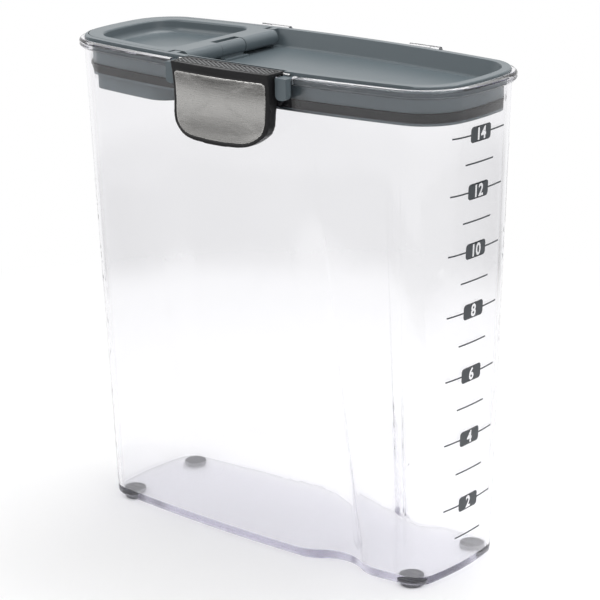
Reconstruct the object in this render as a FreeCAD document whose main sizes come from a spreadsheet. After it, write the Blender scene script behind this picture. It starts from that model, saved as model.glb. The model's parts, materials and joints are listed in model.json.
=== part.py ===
"""Food canister: a clear tub with a latched tray lid and a hinged pour flap.

Millimetres. +Z is up, +X points to the end wall with the measuring scale and the pour flap is at the
-X end. The latch is on the near side, -Y, and the lid's hinge on the far side. Sketches are drawn about
the middle of the tub. The files have their origin on the ground under the middle of the whole.
"""

import FreeCAD, Part
import math
import os

import Sketcher

doc = FreeCAD.newDocument("canister")
sheet = doc.addObject("Spreadsheet::Sheet", "Sizes")

NEAR, FAR = -1, 1
POUR_END, SCALE_END = -1, 1

# How sketches name the origin, the axes and the points of an edge
ORIGIN_POINT = (-1, 1)
X_AXIS, Y_AXIS = -1, -2
START, END, CENTRE = 1, 2, 3
# Two heights closer than this, in millimetres, are the same
SMALL = 0.01
# The rounded base edge in three straight steps: shares of its radius, inwards and upwards
EDGE_STEPS = ((1.0, 0.0), (0.5, 0.134), (0.134, 0.5), (0.0, 1.0))
# How far into the wall the catch is rooted, as a share of the wall
CATCH_ROOT = 0.75


class Dim:
    """A number together with the expression that gives it from the sheet's cells."""

    def __init__(self, value, text):
        self.value = float(value)
        self.text = text

    def __add__(self, other):
        other = dim(other)
        return Dim(self.value + other.value, f"({self.text} + {other.text})")

    def __sub__(self, other):
        other = dim(other)
        return Dim(self.value - other.value, f"({self.text} - {other.text})")

    def __mul__(self, other):
        other = dim(other)
        return Dim(self.value * other.value, f"({self.text} * {other.text})")

    def __truediv__(self, other):
        other = dim(other)
        return Dim(self.value / other.value, f"({self.text} / {other.text})")

    def __neg__(self):
        return Dim(-self.value, f"(0 - {self.text})")

    def __radd__(self, other):
        return dim(other) + self

    def __rsub__(self, other):
        return dim(other) - self

    def __rmul__(self, other):
        return dim(other) * self

    def root(self):
        """The square root."""
        return Dim(math.sqrt(self.value), f"sqrt({self.text})")


def dim(number):
    """A plain number as a Dim."""
    if isinstance(number, Dim):
        return number
    return Dim(number, f"({number!r})" if number < 0 else repr(number))


def size(alias, number):
    """Puts a driving dimension in the next row of the sheet and returns it as a Dim."""
    size.row += 1
    sheet.set(f"A{size.row}", alias)
    sheet.set(f"B{size.row}", repr(number))
    sheet.setAlias(f"B{size.row}", alias)
    return Dim(number, f"Sizes.{alias}")


size.row = 0

# Tub: outline under the rim, draft down to the base, walls
tub_length = size("tub_length", 233.0)
tub_width = size("tub_width", 87.2)
tub_height = size("tub_height", 240.0)
end_draft = size("end_draft", 12.6)
side_draft = size("side_draft", 6.9)
side_bow = size("side_bow", 665.0)
base_bow = size("base_bow", 926.0)
end_bow = size("end_bow", 120.0)
base_end_bow = size("base_end_bow", 144.0)
corner = size("corner", 25.4)
base_corner = size("base_corner", 11.6)
wall = size("wall", 2.4)
floor_thick = size("floor_thick", 4.2)
edge_round = size("edge_round", 2.0)
# Grip groove down each long side, deep at the base and fading out below the lid
groove_in = size("groove_in", 49.6)
groove_depth = size("groove_depth", 7.4)
groove_fade = size("groove_fade", 0.2)
groove_top = size("groove_top", 225.6)
groove_round = size("groove_round", 17.4)
groove_shoulder = size("groove_shoulder", 17.8)
fade_round = size("fade_round", 380.0)
# Rim round the lid, with gaps for the latch and the hinge and a finger scallop at the pour end
rim_out = size("rim_out", 2.4)
rim_up = size("rim_up", 1.9)
rim_down = size("rim_down", 2.3)
rim_round = size("rim_round", 1.4)
scallop_width = size("scallop_width", 34.0)
# Catch under the latch
catch_x = size("catch_x", 1.2)
catch_width = size("catch_width", 49.0)
catch_height = size("catch_height", 10.0)
catch_drop = size("catch_drop", 11.3)
catch_out = size("catch_out", 2.0)
catch_lip = size("catch_lip", 4.0)
# Feet
foot_drop = size("foot_drop", 2.4)
foot_radius = size("foot_radius", 5.7)
foot_seat = size("foot_seat", 1.0)
foot_end = size("foot_end", 13.2)
foot_side = size("foot_side", 13.0)
foot_round = size("foot_round", 0.6)
# Lid: rim plate, skirt, tray
lid_gap = size("lid_gap", 0.4)
lid_thick = size("lid_thick", 3.2)
lid_round = size("lid_round", 0.7)
skirt_inset = size("skirt_inset", 4.4)
skirt_depth = size("skirt_depth", 15.4)
skirt_wall = size("skirt_wall", 2.4)
tray_inset = size("tray_inset", 4.8)
tray_depth = size("tray_depth", 8.8)
tray_floor = size("tray_floor", 2.0)
tray_draft = size("tray_draft", 3.2)
tray_round = size("tray_round", 1.6)
# Main gasket and its groove in the skirt
gasket_low = size("gasket_low", 14.2)
gasket_high = size("gasket_high", 9.6)
gasket_bite = size("gasket_bite", 1.2)
gasket_lip = size("gasket_lip", 2.9)
seal_gap = size("seal_gap", 0.1)
# Pour opening and collar
pour_inset = size("pour_inset", 7.6)
pour_right = size("pour_right", 46.7)
pour_corner = size("pour_corner", 11.0)
collar_wall = size("collar_wall", 1.4)
collar_depth = size("collar_depth", 22.4)
# Flap: plate, dish, end lip, hinge
flap_inset = size("flap_inset", 4.5)
flap_end_gap = size("flap_end_gap", 0.9)
flap_thick = size("flap_thick", 1.8)
flap_lip = size("flap_lip", 1.0)
flap_lip_out = size("flap_lip_out", 1.8)
flap_corner = size("flap_corner", 22.0)
flap_margin = size("flap_margin", 5.8)
flap_clear = size("flap_clear", 0.35)
flap_rise = size("flap_rise", 0.2)
dish_gap = size("dish_gap", 1.0)
dish_wall = size("dish_wall", 1.2)
dish_depth = size("dish_depth", 6.5)
dish_draft = size("dish_draft", 1.2)
dish_round = size("dish_round", 1.2)
dish_bottom_round = size("dish_bottom_round", 3.6)
seat_width = size("seat_width", 2.0)
seat_depth = size("seat_depth", 1.6)
barrel_x = size("barrel_x", 38.3)
barrel_radius = size("barrel_radius", 3.8)
barrel_inset = size("barrel_inset", 10.6)
barrel_clear = size("barrel_clear", 0.6)
barrel_end_gap = size("barrel_end_gap", 1.2)
knuckle_half = size("knuckle_half", 8.5)
knuckle_gap = size("knuckle_gap", 0.3)
knuckle_foot = size("knuckle_foot", 1.1)
knuckle_reach = size("knuckle_reach", 5.6)
flap_pin_radius = size("flap_pin_radius", 1.25)
pin_play = size("pin_play", 0.05)
# Latch: lever, grip pad, face plate, pin, ears of the lid. Stands are distances off the tub's side
latch_width = size("latch_width", 60.0)
latch_foot_inset = size("latch_foot_inset", 1.0)
latch_corner = size("latch_corner", 13.5)
latch_bow = size("latch_bow", 240.0)
latch_sweep = size("latch_sweep", 20.0)
front_stand = size("front_stand", 11.2)
waist_stand = size("waist_stand", 9.8)
toe_stand = size("toe_stand", 12.6)
latch_deep = size("latch_deep", 5.6)
latch_drop = size("latch_drop", 36.2)
latch_waist_drop = size("latch_waist_drop", 19.0)
pin_inset = size("pin_inset", 2.2)
latch_pin_radius = size("latch_pin_radius", 0.7)
latch_barrel = size("latch_barrel", 1.4)
latch_top_thick = size("latch_top_thick", 2.0)
latch_room = size("latch_room", 0.6)
latch_side_gap = size("latch_side_gap", 0.7)
pin_bite = size("pin_bite", 4.2)
hook_stand = size("hook_stand", 2.5)
hook_width = size("hook_width", 39.0)
hook_thick = size("hook_thick", 3.0)
hook_gap = size("hook_gap", 0.6)
grip_thick = size("grip_thick", 0.8)
grip_edge = size("grip_edge", 1.4)
plate_thick = size("plate_thick", 0.8)
plate_proud = size("plate_proud", 0.2)
plate_edge = size("plate_edge", 2.0)
plate_top = size("plate_top", 4.4)
plate_corner = size("plate_corner", 2.0)
ear_width = size("ear_width", 6.4)
ear_stand = size("ear_stand", 4.8)
ear_drop = size("ear_drop", 9.0)
ear_clear = size("ear_clear", 1.2)
ear_round = size("ear_round", 2.4)
# Lid hinge: two lugs of the tub, a lobe of the lid between them, and a pin
hinge_stand = size("hinge_stand", 1.4)
hinge_radius = size("hinge_radius", 1.7)
hinge_lug = size("hinge_lug", 18.0)
hinge_gap = size("hinge_gap", 2.5)
hinge_root = size("hinge_root", 1.2)
hinge_pin_radius = size("hinge_pin_radius", 0.7)
hinge_bite = size("hinge_bite", 12.0)

# Sizes that follow from others
half_length = tub_length / 2
half_width = tub_width / 2
base_length = tub_length - end_draft * 2
base_width = tub_width - side_draft * 2
groove_x = base_length / 2 - groove_in
pour_left = half_length - pour_inset
flap_stop = barrel_x + flap_margin
barrel_half = half_width - barrel_inset
latch_front = half_width + front_stand
latch_waist = half_width + waist_stand
latch_toe = half_width + toe_stand
latch_pin_y = half_width - pin_inset
hook_out = half_width + hook_stand
ear_out = half_width + ear_stand
hinge_y = half_width + hinge_stand
middle_y = (hinge_y + hinge_radius - latch_toe) / 2

# Heights that several pieces share
base_z = foot_drop
seat_z = foot_drop + tub_height
lid_top = seat_z + lid_thick
tray_z = lid_top - tray_depth
flap_low = lid_top - flap_thick
barrel_z = lid_top - barrel_radius
latch_z = lid_top - latch_barrel
hinge_z = lid_top - hinge_radius
groove_z = base_z + groove_top


def plane_of(body, role):
    """The body's own origin plane with this role."""
    for feature in body.Origin.OriginFeatures:
        if feature.Role == role:
            return feature
    raise ValueError(role)


def new_body(label):
    """A body whose label is the name of its file."""
    body = doc.addObject("PartDesign::Body", label)
    body.Label = label
    return body


def new_sketch(body, name, role, offset):
    """A sketch on an origin plane of the body, moved along that plane's normal."""
    sketch = body.newObject("Sketcher::SketchObject", name)
    sketch.AttachmentSupport = (plane_of(body, role), [""])
    sketch.MapMode = "FlatFace"
    offset = dim(offset)
    sketch.AttachmentOffset = FreeCAD.Placement(
        FreeCAD.Vector(0, 0, offset.value), FreeCAD.Rotation()
    )
    sketch.setExpression("AttachmentOffset.Base.z", offset.text)
    return sketch


def drive(sketch, constraint, value):
    """Adds a dimension to a sketch and binds it to its expression."""
    index = sketch.addConstraint(constraint)
    name = f"size{index}"
    sketch.renameConstraint(index, name)
    sketch.setExpression(f"Constraints.{name}", value.text)


def place(sketch, element, x, y):
    """Pins a point of the sketch by its distances from the origin, or on an axis where one is 0."""
    for kind, value, axis in (("DistanceX", x, Y_AXIS), ("DistanceY", y, X_AXIS)):
        if isinstance(value, Dim):
            constraint = Sketcher.Constraint(kind, *ORIGIN_POINT, *element, value.value)
            drive(sketch, constraint, value)
        else:
            sketch.addConstraint(Sketcher.Constraint("PointOnObject", *element, axis))


def radius(sketch, arc, value):
    """Drives the radius of an arc or circle."""
    drive(sketch, Sketcher.Constraint("Radius", arc, value.value), value)


def point(x, y):
    """A point of a sketch."""
    return FreeCAD.Vector(dim(x).value, dim(y).value, 0)


def arc_between(centre, reach, first, last):
    """The arc about centre that runs anticlockwise from the direction of first to that of last."""
    circle = Part.Circle(point(*centre), FreeCAD.Vector(0, 0, 1), reach)
    angles = [math.atan2(p[1] - centre[1], p[0] - centre[0]) for p in (first, last)]
    if angles[1] < angles[0]:
        angles[1] += 2 * math.pi
    return Part.ArcOfCircle(circle, *angles)


def meet(first, first_reach, second, second_reach, turn):
    """The point at two given distances from two points, on one side of the line between them."""
    dx, dy = second[0] - first[0], second[1] - first[1]
    span = math.hypot(dx, dy)
    along = (first_reach**2 - second_reach**2 + span**2) / (2 * span)
    across = turn * math.sqrt(first_reach**2 - along**2)
    ux, uy = dx / span, dy / span
    return (first[0] + along * ux - across * uy, first[1] + along * uy + across * ux)


class Outline:
    """A bowed rectangle with round corners: four flat arcs, tangent to four corner arcs.

    Insets keep every centre and change only the radii, so the outlines of one family are parallel.
    """

    def __init__(self, length, width, side, end, corner_radius):
        self.length, self.width = length, width
        self.side, self.end, self.corner = side, end, corner_radius
        self.side_centre = side - width / 2
        self.end_centre = end - length / 2

    def between(self, other, share):
        """The outline that lies this share of the way towards another one."""
        pairs = (
            (self.length, other.length),
            (self.width, other.width),
            (self.side, other.side),
            (self.end, other.end),
            (self.corner, other.corner),
        )
        return Outline(*[mine + (theirs - mine) * share for mine, theirs in pairs])

    def half_width(self, x):
        """The distance from the middle plane to the long side at x."""
        return (self.side * self.side - x * x).root() - self.side_centre

    def centre_of_side(self, y_sign):
        return (0.0, -y_sign * self.side_centre.value)

    def centre_of_end(self, x_sign):
        return (-x_sign * self.end_centre.value, 0.0)

    def centre_of_corner(self, x_sign, y_sign):
        return meet(
            self.centre_of_side(y_sign),
            self.side.value - self.corner.value,
            self.centre_of_end(x_sign),
            self.end.value - self.corner.value,
            -x_sign * y_sign,
        )

    def draw(self, sketch, inset, groove=None):
        """Draws the whole outline, pulled in by inset, with a groove in each long side if one is given."""
        inset = dim(inset)
        chain = []
        for y_sign, x_from, x_to in ((NEAR, POUR_END, SCALE_END), (FAR, SCALE_END, POUR_END)):
            ends = [self.centre_of_corner(x_sign, y_sign) for x_sign in (x_from, x_to)]
            if groove:
                chain += self.grooved_side(sketch, inset, y_sign, ends, groove)
            else:
                chain.append(self.side_arc(sketch, inset, y_sign, *ends))
            chain.append(self.corner_arc(sketch, inset, x_to, y_sign))
            chain.append(self.end_arc(sketch, inset, x_to))
            chain.append(self.corner_arc(sketch, inset, x_to, -y_sign))
        join(sketch, chain, closed=True)

    def draw_end(self, sketch, inset, x_sign, stop, bend=None):
        """Draws the part of the outline beyond x = stop towards one end, closed by a line across it.

        Where a bend is given, the line meets the long sides in round corners.
        """
        inset = dim(inset)
        first, second = -x_sign, x_sign
        span = (self.side - inset).value
        reach = bend.value if bend else 0.0
        centre_x = stop.value + x_sign * reach
        cuts, bends, ends = {}, {}, {}
        for y_sign in (first, second):
            middle = self.centre_of_side(y_sign)
            rise = math.sqrt((span - reach) ** 2 - centre_x**2)
            bends[y_sign] = (centre_x, middle[1] + y_sign * rise)
            cuts[y_sign] = beyond(middle, bends[y_sign])
            ends[y_sign] = (stop.value, bends[y_sign][1])
        corners = {y_sign: self.centre_of_corner(x_sign, y_sign) for y_sign in cuts}
        chain = [
            self.side_arc(sketch, inset, first, cuts[first], corners[first]),
            self.corner_arc(sketch, inset, x_sign, first),
            self.end_arc(sketch, inset, x_sign),
            self.corner_arc(sketch, inset, x_sign, second),
            self.side_arc(sketch, inset, second, corners[second], cuts[second]),
        ]
        across = sketch.addGeometry(Part.LineSegment(point(*ends[second]), point(*ends[first])))
        sketch.addConstraint(Sketcher.Constraint("Vertical", across))
        place_x = Sketcher.Constraint("DistanceX", *ORIGIN_POINT, across, START, stop.value)
        drive(sketch, place_x, stop)
        if bend is None:
            join(sketch, chain)
            link(sketch, "Coincident", chain[-1][0], END, across, START)
            link(sketch, "Coincident", across, END, chain[0][0], START)
            return
        rounds = {}
        for y_sign in (second, first):
            spots = [cuts[y_sign], ends[y_sign]]
            if y_sign == first:
                spots.reverse()
            rounds[y_sign] = sketch.addGeometry(arc_between(bends[y_sign], reach, *spots))
            radius(sketch, rounds[y_sign], bend)
        chain += [
            (rounds[second], START, END),
            (across, START, END),
            (rounds[first], START, END),
        ]
        join(sketch, chain, closed=True)

    def side_arc(self, sketch, inset, y_sign, first, last):
        """A stretch of one long side, between the directions of two points."""
        span = self.side - inset
        arc = sketch.addGeometry(arc_between(self.centre_of_side(y_sign), span.value, first, last))
        place(sketch, (arc, CENTRE), 0, -y_sign * self.side_centre)
        radius(sketch, arc, span)
        return (arc, START, END)

    def grooved_side(self, sketch, inset, y_sign, ends, groove):
        """One long side with a hollow arc between two shoulder arcs let into it."""
        x, depth, hollow, shoulder = groove
        centre = self.centre_of_side(y_sign)
        dip_y = y_sign * (self.half_width(x) - depth + hollow)
        dip_at = (x.value, dip_y.value)
        reaches = (self.side.value - shoulder.value, hollow.value + shoulder.value)
        lead_at, tail_at = [meet(centre, reaches[0], dip_at, reaches[1], turn) for turn in (-1, 1)]
        bend = shoulder - inset
        first = self.side_arc(sketch, inset, y_sign, ends[0], lead_at)
        lead = sketch.addGeometry(arc_between(lead_at, bend.value, beyond(centre, lead_at), dip_at))
        dip = sketch.addGeometry(arc_between(dip_at, (hollow + inset).value, tail_at, lead_at))
        tail = sketch.addGeometry(arc_between(tail_at, bend.value, dip_at, beyond(centre, tail_at)))
        span = (self.side - inset).value
        last = sketch.addGeometry(arc_between(centre, span, tail_at, ends[1]))
        link(sketch, "Coincident", first[0], CENTRE, last, CENTRE)
        sketch.addConstraint(Sketcher.Constraint("Equal", first[0], last))
        place(sketch, (dip, CENTRE), x, dip_y)
        radius(sketch, dip, hollow + inset)
        radius(sketch, lead, bend)
        radius(sketch, tail, bend)
        return [
            first,
            (lead, START, END),
            (dip, END, START),
            (tail, START, END),
            (last, START, END),
        ]

    def corner_arc(self, sketch, inset, x_sign, y_sign):
        """One corner."""
        at = self.centre_of_corner(x_sign, y_sign)
        points = [beyond(self.centre_of_side(y_sign), at), beyond(self.centre_of_end(x_sign), at)]
        if x_sign * y_sign > 0:
            points.reverse()
        span = self.corner - inset
        arc = sketch.addGeometry(arc_between(at, span.value, *points))
        radius(sketch, arc, span)
        return (arc, START, END)

    def end_arc(self, sketch, inset, x_sign):
        """One short end."""
        points = [self.centre_of_corner(x_sign, y_sign) for y_sign in (-x_sign, x_sign)]
        span = self.end - inset
        arc = sketch.addGeometry(arc_between(self.centre_of_end(x_sign), span.value, *points))
        place(sketch, (arc, CENTRE), -x_sign * self.end_centre, 0)
        radius(sketch, arc, span)
        return (arc, START, END)


def beyond(centre, at):
    """A point on the far side of at, seen from centre."""
    return (2 * at[0] - centre[0], 2 * at[1] - centre[1])


def link(sketch, kind, one, one_end, two, two_end):
    """Ties the ends of two edges."""
    sketch.addConstraint(Sketcher.Constraint(kind, one, one_end, two, two_end))


def join(sketch, chain, closed=False):
    """Makes each edge of a chain tangent to the next. An edge is (index, way in, way out)."""
    following = chain[1:] + (chain[:1] if closed else [])
    for (one, _, way_out), (two, way_in, _) in zip(chain, following):
        link(sketch, "Tangent", one, way_out, two, way_in)


def polygon(sketch, corners, bends=None):
    """Draws a closed polygon through pinned corners, each of them round where it has a bend."""
    pairs = list(zip(corners, bends or [None] * len(corners)))
    spots = [point(*at) for at, _ in pairs]
    turns = [one.x * two.y - two.x * one.y for one, two in zip(spots, spots[1:] + spots[:1])]
    if sum(turns) < 0:
        pairs.reverse()
        spots.reverse()
    starts, ends, centres = [], [], []
    for index, (_, bend) in enumerate(pairs):
        here = spots[index]
        back = (spots[index - 1] - here).normalize()
        ahead = (spots[(index + 1) % len(spots)] - here).normalize()
        half_angle = back.getAngle(ahead) / 2
        reach = bend.value if bend else 0.0
        ends.append(here + back * (reach / math.tan(half_angle)))
        starts.append(here + ahead * (reach / math.tan(half_angle)))
        centres.append(here + (back + ahead).normalize() * (reach / math.sin(half_angle)))
    lines = []
    for start, end in zip(starts, ends[1:] + ends[:1]):
        lines.append(sketch.addGeometry(Part.LineSegment(start, end)))
    for index, (at, bend) in enumerate(pairs):
        before, after = lines[index - 1], lines[index]
        if bend is None:
            link(sketch, "Coincident", before, END, after, START)
            place(sketch, (after, START), *at)
            continue
        arc = sketch.addGeometry(
            arc_between(centres[index][:2], bend.value, ends[index], starts[index])
        )
        join(sketch, [(before, START, END), (arc, START, END), (after, START, END)])
        radius(sketch, arc, bend)
        mark = sketch.addGeometry(Part.Point(spots[index]), True)
        place(sketch, (mark, START), *at)
        for line in (before, after):
            sketch.addConstraint(Sketcher.Constraint("PointOnObject", mark, START, line))


def rectangle(sketch, left, right, low, high, bend=None):
    """Draws a rectangle, with round corners where a bend is given."""
    polygon(sketch, [(left, low), (right, low), (right, high), (left, high)], [bend] * 4)


def circle(sketch, x, y, reach):
    """Draws a circle."""
    reach = dim(reach)
    ring = Part.Circle(point(x, y), FreeCAD.Vector(0, 0, 1), reach.value)
    index = sketch.addGeometry(ring)
    place(sketch, (index, CENTRE), x, y)
    radius(sketch, index, reach)


def extrude(kind, body, sketch, length, reverse=False, both=False):
    """Adds a pad or a pocket of the sketch. A pocket with no length goes through everything."""
    feature = body.newObject(f"PartDesign::{kind}", f"{sketch.Name}_{kind.lower()}")
    feature.Profile = sketch
    feature.Reversed = reverse
    if both:
        feature.SideType = "Symmetric"
    if length is None:
        feature.Type = "ThroughAll"
    else:
        length = dim(length)
        feature.Length = length.value
        feature.setExpression("Length", length.text)
    return feature


def pad(body, sketch, length, **options):
    return extrude("Pad", body, sketch, length, **options)


def pocket(body, sketch, length=None, **options):
    return extrude("Pocket", body, sketch, length, **options)


def loft(kind, body, first, last):
    """Joins two sketches by straight lines, as an AdditiveLoft or a SubtractiveLoft."""
    feature = body.newObject(f"PartDesign::{kind}", f"{first.Name}_loft")
    feature.Profile = first
    feature.Sections = [last]
    feature.Ruled = True
    return feature


def flat(body, name, height):
    """A level sketch at this height."""
    return new_sketch(body, name, "XY_Plane", height)


def lengthwise(body, name, y):
    """An upright sketch along X, at this y. Its pads grow towards -Y."""
    return new_sketch(body, name, "XZ_Plane", -dim(y))


def crosswise(body, name, x):
    """An upright sketch along Y, at this x. Its pads grow towards +X."""
    return new_sketch(body, name, "YZ_Plane", x)


def round_edges(body, name, reach, wanted):
    """Rounds the edges of the body so far for which wanted is true."""
    doc.recompute()
    tip = body.Tip
    names = [f"Edge{i}" for i, edge in enumerate(tip.Shape.Edges, 1) if wanted(edge)]
    feature = body.newObject("PartDesign::Fillet", name)
    feature.Base = (tip, names)
    feature.Radius = reach.value
    feature.setExpression("Radius", reach.text)
    return feature


def level(edge, height):
    """Whether an edge lies level at this height."""
    box = edge.BoundBox
    return abs(box.ZMin - height.value) < SMALL and abs(box.ZMax - height.value) < SMALL


RIM = Outline(tub_length, tub_width, side_bow, end_bow, corner)
BASE = Outline(base_length, base_width, base_bow, base_end_bow, base_corner)
FADE = BASE.between(RIM, groove_top / tub_height)
FLAP = Outline(
    tub_length - flap_end_gap * 2, tub_width - flap_inset * 2, side_bow, end_bow, flap_corner
)

latch_half = latch_width / 2
latch_left = catch_x - latch_half
latch_right = catch_x + latch_half
gap_half = latch_half + latch_side_gap + ear_width + latch_room
ear_spans = (
    (latch_left - latch_side_gap - ear_width, latch_left - latch_side_gap),
    (latch_right + latch_side_gap, latch_right + latch_side_gap + ear_width),
)


def make_tub():
    """Clear tub: rim first, then the drafted walls, the cavity, the catch, the lugs and the foot seats."""
    body = new_body("canister_body")
    sketch = flat(body, "rim", seat_z - rim_down)
    RIM.draw(sketch, -rim_out)
    pad(body, sketch, rim_down + rim_up)
    round_edges(body, "rim_round", rim_round, lambda edge: edge.BoundBox.ZLength < SMALL)
    inside = half_width - skirt_inset
    for side, name in ((NEAR, "near"), (FAR, "far")):
        sketch = flat(body, f"rim_gap_{name}", seat_z + rim_up)
        low, high = sorted((side * inside, side * tub_width), key=lambda value: value.value)
        rectangle(sketch, catch_x - gap_half, catch_x + gap_half, low, high)
        pocket(body, sketch)
    sketch = flat(body, "scallop", seat_z + rim_up)
    outer = half_length + rim_out * 2
    rectangle(sketch, -outer, wall - half_length, -scallop_width / 2, scallop_width / 2)
    pocket(body, sketch, rim_up + rim_down / 2)

    sketch = flat(body, "rim_nest", seat_z + rim_up)
    RIM.draw(sketch, 0)
    pocket(body, sketch, rim_up)

    def groove(share):
        starts = (groove_depth, groove_round, groove_shoulder)
        finishes = (groove_fade, fade_round, fade_round)
        values = [start + (finish - start) * share for start, finish in zip(starts, finishes)]
        return (groove_x, *values)

    def section(name, shape, height, inset, grooved=None):
        sketch = flat(body, name, height)
        shape.draw(sketch, inset, grooved)
        return sketch

    def low_section(name, rise, inset):
        shape = BASE.between(RIM, rise / tub_height)
        return section(name, shape, base_z + rise, inset, groove(rise / groove_top))

    low = section("wall_top_low", FADE, groove_z, 0)
    high = section("wall_top_high", RIM, seat_z, 0)
    loft("AdditiveLoft", body, low, high)
    low = low_section("wall_low", edge_round, 0)
    high = section("wall_mid", FADE, groove_z, 0, groove(1))
    loft("AdditiveLoft", body, low, high)
    for number, (start, stop) in enumerate(zip(EDGE_STEPS, EDGE_STEPS[1:])):
        (low_in, low_up), (high_in, high_up) = start, stop
        low = low_section(f"edge_low_{number}", edge_round * low_up, edge_round * low_in)
        high = low_section(f"edge_high_{number}", edge_round * high_up, edge_round * high_in)
        loft("AdditiveLoft", body, low, high)
    low = low_section("cavity_low", floor_thick, wall)
    high = section("cavity_mid", FADE, groove_z, wall, groove(1))
    loft("SubtractiveLoft", body, low, high)
    low = section("cavity_top_low", FADE, groove_z, wall)
    high = section("cavity_top_high", RIM, seat_z, wall)
    loft("SubtractiveLoft", body, low, high)

    catch_low = seat_z - catch_drop - catch_height
    sketch = crosswise(body, "catch", catch_x)
    root = wall * CATCH_ROOT - half_width
    tip = -half_width - catch_out
    corners = [
        (root, catch_low),
        (tip, catch_low),
        (tip, catch_low + catch_lip),
        (root, catch_low + catch_height),
    ]
    polygon(sketch, corners)
    pad(body, sketch, catch_width, both=True)

    lug_low = seat_z - rim_down
    for side, name in ((POUR_END, "pour"), (SCALE_END, "scale")):
        lug_x = catch_x + side * (gap_half + hinge_lug / 2)
        sketch = crosswise(body, f"lug_{name}", lug_x)
        corners = [
            (half_width - hinge_root, lug_low),
            (hinge_y, lug_low),
            (hinge_y + hinge_radius, lug_low + hinge_radius),
            (hinge_y + hinge_radius, hinge_z),
            (half_width - hinge_root, hinge_z),
        ]
        polygon(sketch, corners)
        pad(body, sketch, hinge_lug, both=True)
        sketch = crosswise(body, f"lug_eye_{name}", lug_x)
        circle(sketch, hinge_y, hinge_z, hinge_radius)
        pad(body, sketch, hinge_lug, both=True)
    hinge_bore(body)
    sketch = flat(body, "foot_seats", base_z)
    for x, y in foot_places():
        circle(sketch, x, y, foot_radius)
    pocket(body, sketch, foot_seat, reverse=True)
    return body


def hinge_bore(body):
    """The bore of the lid's hinge pin, blind in both lugs."""
    sketch = crosswise(body, "hinge_bore", catch_x - gap_half - hinge_bite)
    circle(sketch, hinge_y, hinge_z, hinge_pin_radius + pin_play)
    pocket(body, sketch, (gap_half + hinge_bite) * 2, reverse=True)


def foot_places():
    x, y = base_length / 2 - foot_end, base_width / 2 - foot_side
    return [(end * x, side * y) for side in (NEAR, FAR) for end in (POUR_END, SCALE_END)]


def make_feet():
    """Four rubber discs, each let into the base."""
    feet = []
    for number, (x, y) in enumerate(foot_places(), 1):
        body = new_body(f"foot_{number}")
        sketch = flat(body, f"disc_{number}", 0)
        circle(sketch, x, y, foot_radius)
        pad(body, sketch, foot_drop + foot_seat)
        round_edges(body, f"foot_round_{number}", foot_round, lambda edge: level(edge, dim(0)))
        feet.append(body)
    return feet


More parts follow.
